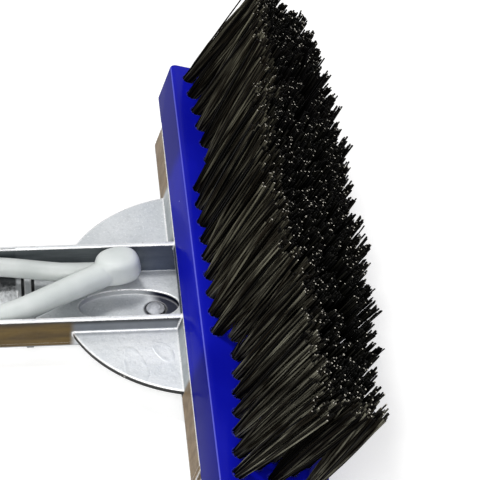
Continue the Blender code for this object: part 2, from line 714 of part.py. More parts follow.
def clip():
    """The sprung V clip: a still knob with two root stubs, and an arm that turns at each stub's end."""
    centre = Vector((*KNOB_CENTRE, CLIP_HEIGHT))
    made_knob = mesh_object("clip_knob", knob(centre), CASTING_FRAME, NYLON)
    for side, label in ((1, "right"), (-1, "left")):
        route = smooth_route(arm_route(side), 6)
        widths = arm_half_widths(route, side)
        reach = [(place - centre).length for place in route]
        first = next(index for index, length in enumerate(reach) if length > ARM_SPLIT)
        share = (ARM_SPLIT - reach[first - 1]) / (reach[first] - reach[first - 1])
        hinge = route[first - 1].lerp(route[first], share)
        hinge_width = widths[first - 1] + (widths[first] - widths[first - 1]) * share
        ahead = (route[first] - route[first - 1]).normalized()
        last = sum(length < ARM_SPLIT - ARM_GAP for length in reach[:first])
        stub = route[:last] + [hinge]
        stub_widths = widths[:last] + [hinge_width]
        boolean(made_knob, tube(f"clip_stub_{label}", stub, stub_widths, CLIP_HEIGHT, CASTING_FRAME), "UNION")
        holder = empty(f"clip_hinge_{label}", CASTING_FRAME, hinge)
        following = first + sum(length < ARM_SPLIT + 2 * ARM_GAP for length in reach[first:])
        arm = [place - hinge for place in [hinge + ahead * ARM_GAP] + route[following:]]
        made = tube(f"clip_arm_{label}", arm, [hinge_width] + widths[following:], 0, holder, NYLON)
        start = Vector((side * ARM_TONGUE_OFFSET, -BUTTON_REACH, TONGUE_AXIS)) - hinge
        end = Vector((side * BUTTON_END, -BUTTON_REACH, TONGUE_AXIS)) - hinge
        button = cylinder(start, end, BUTTON_RADIUS, steps=24)
        rim = [
            edge for edge in button.edges if all(abs(v.co.x - end.x) < BUTTON_ROUNDING for v in edge.verts)
        ]
        bmesh.ops.bevel(button, geom=rim, offset=BUTTON_ROUNDING, segments=2, affect="EDGES", profile=0.5)
        boolean(made, mesh_object(f"button_{label}", button, holder), "UNION")


def frame_shift():
    """Where the casting's frame stands in Y, so that the whole part's middle comes to zero."""
    tip_across = BLOCK_WIDTH / 2 + SHORT_ROW_OFFSET
    out = TUFT_TIP_RADIUS * math.sin(math.pi / SIDE_STRANDS)
    across = tip_across + TIP_HEIGHT * math.tan(tuft_lean(0, tip_across)) + out
    far = ACROSS * across + TOWARDS_TIPS * (BLOCK_FACE + TIP_HEIGHT)
    return (TONGUE_REACH - far.y) / 2


clear_scene()
PARTS = collection("pool_wire_brush")
HELPERS = collection("cutters")
ALUMINIUM = material("cast_aluminium", (0.62, 0.63, 0.63), 0.38, 1.0)
BLUE_PLASTIC = material("blue_plastic", (0.012, 0.018, 0.42), 0.22)
BRISTLE = material("bristle_wire", (0.03, 0.028, 0.022), 0.45)
NYLON = material("white_nylon", (0.78, 0.80, 0.79), 0.45)
STEEL = material("plated_steel", (0.55, 0.55, 0.56), 0.35, 1.0)
CASTING_FRAME = empty("casting_frame", None, (-RAIL_SHIFT - BLOCK_SHIFT, frame_shift(), REST_HEIGHT))
BLOCK_FRAME = empty("block_frame", CASTING_FRAME, (RAIL_SHIFT, 0, 0), -BLOCK_TILT)
BRISTLE_FRAME = empty("bristle_frame", BLOCK_FRAME, (BLOCK_SHIFT, 0, 0))
back_casting()
brush_block()
bristle_banks()
screws()
pocket_rivet()
clip()
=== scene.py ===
"""Looks of the pool wire brush: materials for the casting and its fasteners, a block with bored tuft
holes, thousands of wire strands, a moulded V clip, the floor, the light and the camera.

Lengths are in metres. Those of the casting and the block repeat the part's own, and some of those of the
strands and the clip differ from it. Places inside the casting are measured from CASTING, and those on the
block in its tilted frame, BRISTLES.
"""

import math
import random

import bmesh
import bpy
from mathutils import Matrix, Vector

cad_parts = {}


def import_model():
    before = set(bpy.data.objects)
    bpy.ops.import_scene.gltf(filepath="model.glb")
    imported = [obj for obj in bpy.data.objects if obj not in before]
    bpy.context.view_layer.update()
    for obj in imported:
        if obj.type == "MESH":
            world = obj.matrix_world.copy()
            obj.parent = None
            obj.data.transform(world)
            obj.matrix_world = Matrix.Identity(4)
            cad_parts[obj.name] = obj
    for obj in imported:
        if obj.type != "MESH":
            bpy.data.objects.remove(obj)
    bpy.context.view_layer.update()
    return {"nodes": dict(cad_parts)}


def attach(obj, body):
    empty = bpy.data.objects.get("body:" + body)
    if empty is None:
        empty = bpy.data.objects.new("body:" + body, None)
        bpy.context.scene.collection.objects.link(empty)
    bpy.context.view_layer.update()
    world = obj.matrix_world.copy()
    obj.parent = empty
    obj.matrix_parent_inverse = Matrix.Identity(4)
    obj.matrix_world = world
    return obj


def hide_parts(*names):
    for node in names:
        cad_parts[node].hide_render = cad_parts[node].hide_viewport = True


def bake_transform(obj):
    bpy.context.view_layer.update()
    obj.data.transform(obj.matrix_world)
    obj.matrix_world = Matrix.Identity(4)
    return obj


CASTING = Vector((-0.0042, 0.035453, 0.016151))
TILT = math.radians(16)
BRISTLES = Matrix.Translation((0, CASTING.y, CASTING.z)) @ Matrix.Rotation(-TILT, 4, "X")

# Casting: WALL_MIDDLE lies inside each wall, and WALL_CLEAR and POCKET_CLEAR just outside wall and pocket
FAN_RADIUS = 0.0456
FAN_CENTRE = 0.0081
WALL_MIDDLE = 0.0168
WALL_CLEAR = 0.0182
TROUGH_START = -0.0503
RIB_REACH = 0.0472
FLOOR_TOP = -0.0113
POCKET_CENTRE = 0.0155
POCKET_HALF_LENGTH = 0.0160
POCKET_CLEAR = 0.0080
RIVET_REACH = 0.007
CAST_MARKS = (
    ((0.0325, -0.0155), (0.0085, 0.0030), 0.15), ((0.0275, -0.0065), (0.0050, 0.0028), 0.5),
)
CASTING_SHARP = math.radians(35)

# Block
BLOCK_LENGTH = 0.194
BLOCK_WIDTH = 0.034
BLOCK_BACK = 0.0003
BLOCK_FACE = 0.0138
BLOCK_CORNER_RADIUS = 0.0024
BLOCK_EDGE_RADIUS = 0.0006
BLOCK_RECESS = 0.0008
BLOCK_SHARP = math.radians(40)
RAIL_LENGTH = 0.160
BLOCK_SHIFT = 0.0017
SEAT_GAP = 0.0003
SEAT_CUT = 0.004
PILOT_RADIUS = 0.0019
PILOT_DEPTH = 0.0088
SCREW_PLACES = (
    (-0.070, 0.015), (-0.040, 0.015), (-0.010, 0.0225), (0.010, 0.0225), (0.040, 0.015), (0.070, 0.015)
)
TUFT_HOLE_RADIUS = 0.0021
TUFT_HOLE_DEPTH = 0.004
COUNTERSINK = 0.00035
SLIGHT = 0.0001

# Where the tufts stand
TUFT_PITCH = 0.0082
ROW_TUFTS = 23
ROWS_REACH = TUFT_PITCH * (ROW_TUFTS - 1) / 2
ROW_SPACING = 0.0066
ROW_END_SPREAD = 0.0042
SHORT_ROW_TUFTS = 9
SHORT_ROW_START = -4
SHORT_ROW_OFFSET = 0.0121
FILLER_TUFTS = 2

# How they lean: angles across the block, then along it
MEAN_LEAN = math.radians(10.5)
MIDDLE_PINCH = math.radians(1.8)
END_PINCH = math.radians(7.4)
NEAR_SHARE = 0.3
FAR_SHARE = 0.68
FAR_LEANS = (
    (-0.090, 5), (-0.066, 9.5), (-0.050, 12), (-0.040, 17.5), (-0.030, 12), (0.030, 12), (0.041, 17),
    (0.050, 14.5), (0.066, 10), (0.074, 6), (0.090, 4.5),
)
SHORT_ROW_LEAN = math.radians(9.2)
END_LEAN = math.radians(14)
UPRIGHT_START = 0.06
UPRIGHT_SPAN = 0.03
UPRIGHT_SIDE = math.radians(0.5)
DRAWN_START = 0.054
DRAWN_SPAN = 0.037
DRAWN_SIDE = 9
DRAWN_FAR_SIDE = 14
DRAWN_LEAN = math.radians(5.5)
DRAWN_NARROWING = 0.5
DRAWN_DROP = 0.0025

# Strands
TIP_HEIGHT = 0.0405
TUFT_FOOT_RADIUS = 0.00175
TUFT_TIP_RADIUS = 0.0044
TUFT_LEAN_SPREAD = 0.016
TUFT_SIDE_SPREAD = 0.020
TRIM = -0.0006
TRIM_SPREAD = 0.0005
CLUMPS = 6
CLUMPING = 0.45
STRANDS_PER_TUFT = 56
STRAND_TURN = 2.39996
STRAND_RADIUS = 0.00028
STRAND_SEGMENTS = 5
STRAND_SIDES = 4
STRAND_SCATTER = 0.00045
STRAND_TRIM_SPREAD = 0.00035
STRAND_BOW = 0.0004
STRAND_OUTWARD_BOW = 0.0005
STRAND_ROOT = 0.05
STRAY_SHARE = 0.03
STRAY_FACTOR = 2.4
STRAND_SHARP = math.radians(100)

# Clip: side 1 is the right arm, -1 the left one
KNOB_CENTRE = Vector((-0.0096, -0.0187, -0.0036))
KNOB_HALF = (0.0056, 0.0072)
KNOB_PROFILE = (
    (0.84, -0.0032), (0.97, -0.0028), (1.04, -0.0016), (1.04, 0.0000), (1.00, 0.0020), (0.95, 0.0034),
    (0.85, 0.0045), (0.68, 0.0051), (0.36, 0.0054),
)
KNOB_SQUARENESS = 2.5
KNOB_SIDES = 64
KNOB_TURN = math.radians(14)
TONGUE_AXIS = -0.002051
CLIP_RISE = (0.060, 0.086)
LEFT_ROOT_SHIFT = 0.0028
ARM_MIDDLE = {1: 0.0010, -1: -0.0082}
ARM_HALF_WIDTH = {1: 0.0039, -1: 0.0031}
ARM_ROOT_GROWTH = 0.0008
ARM_ROOT_HALF_WIDTH = 0.0045
ARM_TIP_HALF_WIDTH = 0.0027
ARM_BEND_OFFSET = 0.0116
ARM_TONGUE_OFFSET = 0.0092
ARM_REACHES = (0.0365, 0.0570, 0.070, 0.0914, 0.103)
ARM_STEPS = 14
ARM_SIDES = 24
ARM_DOME = 0.55
ARM_DOME_ANGLES = (0.5, 0.9, 1.25)
LEFT_ARM_START = 4
BUTTON_REACH = 0.098
BUTTON_RADIUS = 0.0033
BUTTON_END = 0.0182
BUTTON_ROUNDING = 0.0012
CLIP_VOXEL = 0.0004

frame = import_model()
NODES = frame["nodes"]


class Nodes:
    """A shader tree under construction."""

    def __init__(self, tree):
        self.tree = tree

    def add(self, kind, settings=None, **inputs):
        node = self.tree.nodes.new(kind)
        for key, value in (settings or {}).items():
            setattr(node, key, value)
        for key, value in inputs.items():
            self.feed(node.inputs[key.replace("_", " ")], value)
        return node

    def feed(self, socket, value):
        if isinstance(value, bpy.types.NodeSocket):
            self.tree.links.new(value, socket)
        elif isinstance(value, tuple) and len(value) == 3 and len(socket.default_value) == 4:
            socket.default_value = (*value, 1)
        else:
            socket.default_value = value

    def math(self, operation, first, second=0.0):
        node = self.add("ShaderNodeMath", {"operation": operation})
        for socket, value in zip(node.inputs, (first, second)):
            self.feed(socket, value)
        return node.outputs[0]

    def most(self, first, *others):
        """The largest of these."""
        for other in others:
            first = self.math("MAXIMUM", first, other)
        return first

    def seen_directly(self):
        """1 for camera, glossy and transmission rays."""
        path = self.add("ShaderNodeLightPath").outputs
        return self.most(*[path[f"Is {kind} Ray"] for kind in ("Camera", "Glossy", "Transmission")])


class Look(Nodes):
    """A material under construction."""

    def __init__(self, name):
        self.material = bpy.data.materials.new(name)
        self.material.use_nodes = True
        super().__init__(self.material.node_tree)
        self.shader = self.tree.nodes["Principled BSDF"]
        self.place = self.add("ShaderNodeTexCoord").outputs["Object"]
        geometry = self.add("ShaderNodeNewGeometry")
        self.normal = geometry.outputs["Normal"]
        self.island = geometry.outputs["Random Per Island"]

    def set(self, **inputs):
        for key, value in inputs.items():
            self.feed(self.shader.inputs[key.replace("_", " ")], value)

    def plus(self, first, second):
        return self.math("ADD", first, second)

    def less(self, first, second):
        return self.math("SUBTRACT", first, second)

    def size(self, value):
        return self.math("ABSOLUTE", value)

    def both(self, first, *others):
        """The product of these, which is 1 where every one of them is."""
        for other in others:
            first = self.math("MULTIPLY", first, other)
        return first

    def spread(self, value, low, high, to_low=0.0, to_high=1.0):
        """value, from low to high, turned smoothly into to_low to to_high."""
        node = self.add("ShaderNodeMapRange", {"interpolation_type": "SMOOTHSTEP"})
        for socket, number in zip(node.inputs, (value, low, high, to_low, to_high)):
            self.feed(socket, number)
        return node.outputs[0]

    def even(self, noise, to_low=0.0, to_high=1.0):
        """A noise's usual range turned into to_low to to_high."""
        return self.spread(noise, 0.3, 0.7, to_low, to_high)

    def fade(self, value, low, high, full=1.0):
        """full where value is under low, and 0 where it is over high."""
        return self.spread(value, low, high, full, 0)

    def band(self, value, rise, fall):
        """1 where value lies between the pair rise and the pair fall."""
        return self.both(self.spread(value, *rise), self.fade(value, *fall))

    def noise(self, scale, detail=2.0, roughness=0.5, vector=None):
        node = self.add("ShaderNodeTexNoise", Scale=scale, Detail=detail, Roughness=roughness)
        self.feed(node.inputs["Vector"], vector or self.place)
        return node.outputs[0]

    def mapped(self, **inputs):
        return self.add("ShaderNodeMapping", Vector=self.place, **inputs).outputs[0]

    def mix(self, share, first, second):
        node = self.add("ShaderNodeMix", {"data_type": "RGBA", "blend_type": "MIX"})
        self.feed(node.inputs["Factor"], share)
        self.feed(node.inputs[6], first)
        self.feed(node.inputs[7], second)
        return node.outputs[2]

    def vector_math(self, operation, first, second):
        node = self.add("ShaderNodeVectorMath", {"operation": operation})
        self.feed(node.inputs[0], first)
        self.feed(node.inputs[1], second)
        return node.outputs

    def offset(self, vector, origin):
        return self.vector_math("SUBTRACT", vector, tuple(origin))[0]

    def inner(self, vector, axis):
        return self.vector_math("DOT_PRODUCT", vector, axis)["Value"]

    def length(self, x, y):
        level = self.add("ShaderNodeCombineXYZ", X=x, Y=y).outputs[0]
        return self.vector_math("LENGTH", level, (0.0, 0.0, 0.0))["Value"]

    def apart(self, vector):
        return self.add("ShaderNodeSeparateXYZ", Vector=vector).outputs

    def on_block(self):
        """The place in the block's tilted frame: along it, across it and its height."""
        away = self.offset(self.place, BRISTLES.translation)
        return [self.inner(away, tuple(axis)) for axis in BRISTLES.to_3x3().col]

    def oval(self, x, y, centre, half, turn):
        """Distance from centre, 1 on the rim of an oval with these half lengths."""
        away_x, away_y = self.less(x, centre[0]), self.less(y, centre[1])
        cos, sin = math.cos(turn), math.sin(turn)
        along = self.plus(self.both(away_x, cos / half[0]), self.both(away_y, sin / half[0]))
        across = self.less(self.both(away_y, cos / half[1]), self.both(away_x, sin / half[1]))
        return self.length(along, across)

    def bump(self, height, distance, strength=1.0, normal=None):
        node = self.add("ShaderNodeBump", Height=height, Distance=distance, Strength=strength)
        if normal:
            self.feed(node.inputs["Normal"], normal)
        return node.outputs[0]

    def edges(self, radius, low, high):
        """1 on the edges of the shape and 0 on its flats, and the normal rounded over its edges."""
        rounded = self.add("ShaderNodeBevel", {"samples": 6}, Radius=radius).outputs[0]
        return self.spread(self.less(1.0, self.inner(rounded, self.normal)), low, high), rounded


class CastingLook(Look):
    """Rough cast metal: pale where it faces up, with painted reflections on the walls (slate inside, brown
    and tan outside), painted shade in its grooves, pocket and trough and along the fan's rim, and edges
    painted near-white as both wear and highlight.
    """

    def __init__(self):
        super().__init__("scene_cast_aluminium")
        self.cloud = self.noise(45, 3)
        self.blotch = self.noise(230, 3, 0.6)
        self.grain = self.noise(1500, 2, 0.7)
        self.streaks = self.even(self.noise(320, 3, 0.6, self.mapped(Scale=(1, 0.12, 1))))
        self.x, self.y, self.z = self.apart(self.offset(self.place, CASTING))
        self.middle = self.size(self.x)
        self.drop = self.both(self.z, -1.0)
        self.inside = self.fade(self.middle, WALL_MIDDLE - 0.0002, WALL_MIDDLE - 0.0001)
        self.outside = self.spread(self.middle, WALL_MIDDLE, WALL_MIDDLE + 0.0003)
        self.reach = self.length(self.x, self.less(self.y, FAN_CENTRE))
        normal_y, self.up = self.apart(self.normal)[1:]
        self.upright = self.fade(self.size(self.up), 0.45, 0.75)
        self.lengthways = self.spread(self.size(normal_y), 0.6, 0.8)

        trough = self.both(self.fade(self.y, TROUGH_START - 0.001, TROUGH_START), self.inside)
        grooves = self.grooves()
        marks = self.marks()
        rim = self.fan_rim_shade()
        beyond = self.both(self.spread(self.reach, FAN_RADIUS - 0.0012, FAN_RADIUS + 0.0012), self.outside)
        # painted reflection and shade on the walls, and painted reflection beyond the fan plate
        sides = self.mix(beyond, self.wall_colour(), self.tan_reflection_colour())
        broken = self.spread(self.noise(420, 2), 0.30, 0.36)
        # painted shade: a broken near-black band along the fan plate's rim
        sides = self.mix(self.both(rim, broken), sides, (0.0075, 0.0075, 0.0063))
        colour = self.mix(self.both(self.upright, 0.95), self.top_colour(trough, marks), sides)
        colour, sunk = self.pocket_colour(colour)
        # painted shade: the groove floors are darkened nearly to black
        colour = self.mix(self.both(grooves, 0.92), colour, (0.010, 0.011, 0.012))

        edge, rounded = self.edges(0.0009, 0.003, 0.025)
        foot = self.both(
            self.fade(self.size(self.less(self.z, FLOOR_TOP)), 0.0008, 0.0014),
            self.spread(self.middle, 0.0150, 0.0154),
        )
        deep = self.both(trough, self.fade(self.z, -0.008, -0.006))
        sheltered_and_shaded = self.most(rim, self.both(sunk, 0.8), foot, deep, grooves)
        # edges painted near-white, both as wear and as painted highlight, except where shade is painted
        wear_and_highlight = self.both(
            edge, self.spread(self.noise(260, 3), 0.25, 0.5, 0.7, 1), self.less(1.0, sheltered_and_shaded)
        )
        colour = self.mix(wear_and_highlight, colour, (0.975, 0.975, 0.975))
        height = self.plus(self.plus(self.both(self.grain, 0.4), self.blotch), self.both(marks, 0.5))
        roughness = self.less(self.even(self.blotch, 0.36, 0.5), self.both(wear_and_highlight, 0.12))
        self.set(
            Base_Color=colour, Metallic=self.less(0.5, self.both(beyond, self.upright, 0.4)),
            Roughness=self.plus(roughness, self.both(trough, 0.25)),
            Normal=self.bump(height, 0.00013, 0.8, rounded), Specular_IOR_Level=0.05,
        )

    def grooves(self):
        """The floors of the two grooves beside the cross rib."""
        rib = self.size(self.plus(self.y, RIB_REACH))
        low = self.fade(self.z, FLOOR_TOP + 0.0003, FLOOR_TOP + 0.0006)
        return self.both(self.band(rib, (0.0010, 0.0012), (0.0020, 0.0023)), self.inside, low)

    def marks(self):
        """The faint raised outlines on the fan plate."""
        rims = []
        for place, half, turn in CAST_MARKS:
            ring = self.plus(self.oval(self.x, self.y, place, half, turn), self.even(self.cloud, -0.3, 0.3))
            rims.append(self.band(ring, (0.55, 0.95), (0.98, 1.12)))
        return self.both(self.most(*rims), self.spread(self.noise(190, 2), 0.35, 0.6))

    def fan_rim_shade(self):
        """Where the fan plate's rim is painted dark as shade."""
        rim = self.band(
            self.reach, (FAN_RADIUS - 0.0010, FAN_RADIUS - 0.0006), (FAN_RADIUS + 0.0003, FAN_RADIUS + 0.0006)
        )
        outer = self.spread(self.middle, WALL_CLEAR, WALL_CLEAR + 0.0002)
        return self.both(rim, outer, self.fade(self.z, -0.0058, -0.0055))

    def top_colour(self, trough, marks):
        """The faces that look up: clouded and grained, with painted shade towards -x and along one side of
        the trough.
        """
        colour = self.mix(self.even(self.cloud), (0.600, 0.626, 0.642), (0.770, 0.786, 0.796))
        # painted shade: darker towards -x
        colour = self.mix(self.fade(self.x, -0.026, -0.018, 0.34), colour, (0.343, 0.373, 0.384))
        colour = self.mix(self.spread(self.blotch, 0.45, 0.75, 0, 0.30), colour, (0.436, 0.466, 0.487))
        colour = self.mix(self.spread(self.grain, 0.54, 0.78, 0, 0.5), colour, (0.975, 0.975, 0.975))
        pits = self.spread(self.noise(800, 2, 0.7), 0.52, 0.70, 0, 0.26)
        colour = self.mix(pits, colour, (0.36, 0.385, 0.40))
        # painted shade: one side of the trough is darkened nearly to black
        across = self.plus(self.x, self.even(self.noise(650, 3, 0.7), -0.0018, 0.0018))
        trough_shading = self.mix(self.spread(across, -0.0130, -0.0045), (0.045, 0.050, 0.052), (0.800, 0.815, 0.825))
        colour = self.mix(self.both(trough, 0.95), colour, trough_shading)
        return self.mix(self.both(marks, 0.30), colour, (0.500, 0.537, 0.562))

    def wall_colour(self):
        """The walls' two faces, and the rail's front between and beside them, with painted reflections and
        shade: a slate inner face that turns navy towards the block, an outer face near-black under its top
        edge and pale towards its foot, and the rail's front darkened next to the walls.
        """
        # painted reflection: the inner faces' dark slate, turning navy towards the block, stands in for what
        # they reflect
        slate = self.mix(self.streaks, (0.058, 0.070, 0.076), (0.121, 0.137, 0.142))
        inner = self.mix(self.spread(self.y, -0.020, -0.002, 0, 0.85), slate, (0.029, 0.040, 0.084))
        # painted shade and highlight: the outer faces are near-black under the top edge and pale towards the
        # foot
        outer = self.mix(self.spread(self.drop, 0.0010, 0.0028), (0.017, 0.019, 0.022), (0.145, 0.156, 0.172))
        outer = self.mix(self.spread(self.drop, 0.0044, 0.0054), outer, (0.537, 0.559, 0.581))
        rail = self.mix(self.streaks, (0.357, 0.383, 0.394), (0.472, 0.499, 0.509))
        # painted shade: the rail's front is darker between and next to the walls
        rail = self.mix(self.spread(self.middle, WALL_CLEAR, 0.0215), (0.138, 0.150, 0.163), rail)
        wall, rail = [self.mix(self.outside, inner, colour) for colour in (outer, rail)]
        return self.mix(self.lengthways, wall, rail)

    def tan_reflection_colour(self):
        """The outside beyond the fan plate, painted as the reflection of a tan surrounding: brown on the
        tongue's side, darker towards its top and bottom, and tan on the rail's.
        """
        # painted reflection: the brown and tan stand in for a tan surrounding seen in these faces
        brown = self.mix(self.streaks, (0.050, 0.026, 0.000), (0.122, 0.073, 0.0075))
        brown = self.mix(self.fade(self.drop, 0.0004, 0.0026), brown, (0.018, 0.015, 0.011))
        brown = self.mix(self.spread(self.drop, 0.0120, 0.0128), brown, (0.025, 0.020, 0.013))
        rail_tan = self.mix(self.streaks, (0.169, 0.112, 0.056), (0.269, 0.190, 0.106))
        rail_tan = self.mix(self.spread(self.noise(60, 2), 0.5, 0.7, 0, 0.5), rail_tan, (0.175, 0.112, 0.056))
        return self.mix(self.lengthways, brown, rail_tan)

    def pocket_colour(self, colour):
        """colour with painted shade in the oval pocket: its walls grey to dark navy, its end shaded and a
        dark ring round the rivet; and where the pocket is.
        """
        well = self.math("DIVIDE", self.plus(self.y, POCKET_CENTRE), POCKET_HALF_LENGTH)
        sunk = self.both(
            self.fade(self.z, FLOOR_TOP - 0.0005, FLOOR_TOP - 0.0001),
            self.fade(self.middle, POCKET_CLEAR, POCKET_CLEAR + 0.0002),
            self.fade(self.size(well), 1.0, 1.03),
        )
        # painted shade: the pocket's walls darken to navy towards its +y end
        wall = self.mix(self.spread(well, 0.1, 0.75), (0.450, 0.463, 0.475), (0.015, 0.019, 0.040))
        colour = self.mix(self.both(sunk, self.fade(self.up, 0.75, 0.97)), colour, wall)
        shaded = self.both(sunk, self.spread(self.plus(well, self.both(self.x, -14.0)), 0.46, 0.74))
        colour = self.mix(self.both(shaded, 0.95), colour, (0.0088, 0.011, 0.030))
        # painted shade: a dark ring round the rivet
        seat = self.length(self.x, self.plus(self.y, RIVET_REACH))
        seat = self.both(sunk, self.fade(seat, 0.0035, 0.0041, 0.9))
        return self.mix(seat, colour, (0.025, 0.027, 0.037)), sunk


def steel():
    look = Look("scene_plated_steel")
    rub = look.noise(900, 3, 0.6)
    look.set(
        Base_Color=look.mix(look.even(rub), (0.375, 0.388, 0.413), (0.550, 0.562, 0.587)),
        Metallic=0.6, Roughness=look.even(rub, 0.55, 0.70), Normal=look.bump(rub, 0.00005, 0.5),
    )
    return look.material


def blue_plastic():
    """Glossy blue with a few pale specks, edges and a front edge painted pale as highlights, and painted
    shade on the front beyond the fan.
    """
    look = Look("scene_blue_plastic")
    fine = look.noise(900, 2)
    x, across, height = look.on_block()
    colour = look.mix(look.even(look.noise(30, 3)), (0.0037, 0.0056, 0.338), (0.0063, 0.0094, 0.450))
    # painted shade: the front faces beyond the fan plate are darker
    beyond = look.spread(look.size(look.less(x, CASTING.x)), 0.042, 0.050)
    front = look.fade(look.apart(look.normal)[1], -0.8, -0.6)
    colour = look.mix(look.both(beyond, front, 0.55), colour, (0.0015, 0.0020, 0.100))
    cells = look.add("ShaderNodeTexVoronoi", Vector=look.place, Scale=95.0).outputs
    chosen = look.spread(look.apart(cells["Color"])[0], 0.86, 0.87)
    specks = look.both(chosen, look.fade(cells["Distance"], 0.022, 0.040), 0.8)
    colour = look.mix(specks, colour, (0.775, 0.800, 0.975))
    # painted highlight: the edges, and most of all the front's top edge, are paler
    edge, rounded = look.edges(0.0005, 0.01, 0.12)
    colour = look.mix(look.both(edge, 0.35), colour, (0.200, 0.213, 0.938))
    corner = look.length(across, look.less(height, BLOCK_FACE))
    colour = look.mix(look.fade(corner, 0.00030, 0.00045, 0.4), colour, (0.250, 0.270, 0.938))
    look.set(
        Base_Color=colour, Roughness=look.even(fine, 0.2, 0.3),
        Normal=look.bump(look.plus(fine, look.noise(160, 2)), 0.00003, 0.6, rounded),
        Specular_IOR_Level=0.0, Coat_Weight=0.17, Coat_Roughness=0.22, Coat_IOR=1.5,
    )
    return look.material


def nylon(part, shade_factor):
    look = Look("scene_white_nylon_" + part)
    fine = look.noise(1400, 2)
    # the factor scales both colours; below 1 it is painted shade
    dull, clean = [
        tuple(shade_factor * share for share in shares) for shares in ((0.637, 0.675, 0.656), (0.737, 0.769, 0.750))
    ]
    colour = look.mix(look.even(look.noise(90, 3)), dull, clean)
    dust = look.spread(look.noise(420, 4, 0.7), 0.62, 0.75, 0, 0.25)
    look.set(
        Base_Color=look.mix(dust, colour, (0.537, 0.537, 0.488)), Roughness=look.even(fine, 0.42, 0.55),
        Normal=look.bump(look.plus(fine, look.noise(250, 2)), 0.00005, 0.7),
        Subsurface_Weight=0.6, Subsurface_Radius=(1.0, 1.0, 1.0), Subsurface_Scale=0.005,
    )
    return look.material


def wire():
    """Near-black wire with paler stretches painted as sheen, each wire its own, and painted shade deep among
    the tips.
    """
    look = Look("scene_wire")
    along = look.noise(60, 2, 0.5, look.mapped(Location=look.island))
    x, across, height = look.on_block()
    height = look.less(height, BLOCK_FACE)
    colour = look.mix(look.spread(look.island, 0.0, 1.0), (0.0015, 0.0015, 0.0015), (0.014, 0.011, 0.0072))
    # painted highlight: paler stretches along some wires stand in for sheen, brighter towards +x
    painted_sheen = look.mix(look.spread(x, 0.0, 0.08), (0.135, 0.128, 0.091), (0.200, 0.194, 0.147))
    paler = look.both(look.spread(along, 0.38, 0.66), look.spread(look.island, 0.3, 0.9))
    colour = look.mix(paler, colour, painted_sheen)
    front = look.spread(look.size(x), 0.034, 0.038, 0.0031, 0.0075)
    depth = look.less(look.less(across, look.both(height, 0.15)), front)
    end = look.less(look.less(x, look.both(height, 0.24)), 0.0865)
    shade = look.both(
        look.spread(height, 0.55 * TIP_HEIGHT, 0.85 * TIP_HEIGHT), look.spread(depth, 0.0040, 0.0075),
        look.fade(end, -0.003, 0.001), 0.95,
    )
    look.set(
        Base_Color=look.mix(shade, colour, (0.0005, 0.0005, 0.0005)), Roughness=look.even(along, 0.40, 0.55),
        Normal=look.bump(along, 0.00004, 0.6), Specular_IOR_Level=0.02,
    )
    return look.material


def cut_wire():
    """The wires' cut ends, a few of them painted bright as glints."""
    look = Look("scene_wire_ends")
    face = look.noise(2500, 2)
    # painted highlight: a few ends are near-white glints
    bright = look.mix(look.spread(look.island, 0.80, 0.88), (0.0050, 0.0050, 0.0050), (0.700, 0.663, 0.575))
    look.set(
        Base_Color=look.mix(look.spread(face, 0.4, 0.7, 0, 0.4), bright, (0.025, 0.022, 0.019)),
        Roughness=look.even(face, 0.3, 0.5), Specular_IOR_Level=0.04,
    )
    return look.material


def new_object(name, mesh, *materials):
    made = bpy.data.objects.new(name, mesh)
    bpy.context.scene.collection.objects.link(made)
    for item in materials:
        mesh.materials.append(item)
    return made


def mesh_of(bm, name):
    bmesh.ops.recalc_face_normals(bm, faces=bm.faces)
    mesh = bpy.data.meshes.new(name)
    bm.to_mesh(mesh)
    bm.free()
    return mesh


def smooth(mesh, sharp):
    mesh.shade_smooth()
    mesh.set_sharp_from_angle(angle=sharp)


def applied(obj):
    """obj with its modifiers turned into its mesh."""
    bpy.context.view_layer.update()
    graph = bpy.context.evaluated_depsgraph_get()
    mesh = bpy.data.meshes.new_from_object(obj.evaluated_get(graph))
    obj.modifiers.clear()
    obj.data = mesh
    return obj


def cut(target, name, bm):
    cutter = new_object(name, mesh_of(bm, name))
    modifier = target.modifiers.new("Cut", "BOOLEAN")
    modifier.operation = "DIFFERENCE"
    modifier.object = cutter
    modifier.solver = "EXACT"
    applied(target)
    bpy.data.objects.remove(cutter)


def add_box(bm, middle, size):
    place = Matrix.Translation(middle) @ Matrix.Diagonal((*size, 1))
    bmesh.ops.create_cube(bm, size=1, matrix=place)


def add_cone(bm, matrix, depth, radius, end_radius, steps):
    """A cone or cylinder along matrix's Z, about its place."""
    return bmesh.ops.create_cone(
        bm, cap_ends=True, segments=steps, radius1=radius, radius2=end_radius, depth=depth, matrix=matrix
    )["verts"]


def rise(edge):
    return abs(edge.verts[0].co.z - edge.verts[1].co.z)


def round_edges(bm, edges, radius, segments):
    bmesh.ops.bevel(bm, geom=edges, offset=radius, segments=segments, affect="EDGES", profile=0.5)


def tuft_places():
    """(x, across) of each tuft: three long rows that part towards the ends, with a few tufts between
    them there, and a short row outside each.
    """
    middle = BLOCK_WIDTH / 2
    places = []
    for row in (-1, 0, 1):
        stagger = TUFT_PITCH / 4 * (1 if row else -1)
        for index in range(ROW_TUFTS):
            x = TUFT_PITCH * index - ROWS_REACH
            share = max(0, abs(x) - ROWS_REACH / 2) / (ROWS_REACH / 2)
            apart = ROW_SPACING + ROW_END_SPREAD * share
            places.append((x + stagger * (1 - abs(x) / ROWS_REACH), middle + row * apart))
    for row in (-1, 1):
        for index in range(SHORT_ROW_TUFTS):
            places.append((TUFT_PITCH * (index + SHORT_ROW_START), middle + row * SHORT_ROW_OFFSET))
        for end in (-1, 1):
            for index in range(FILLER_TUFTS):
                x = end * (ROWS_REACH - TUFT_PITCH * (index + 0.5))
                places.append((x, middle + row * (ROW_SPACING + ROW_END_SPREAD) / 2))
    return places


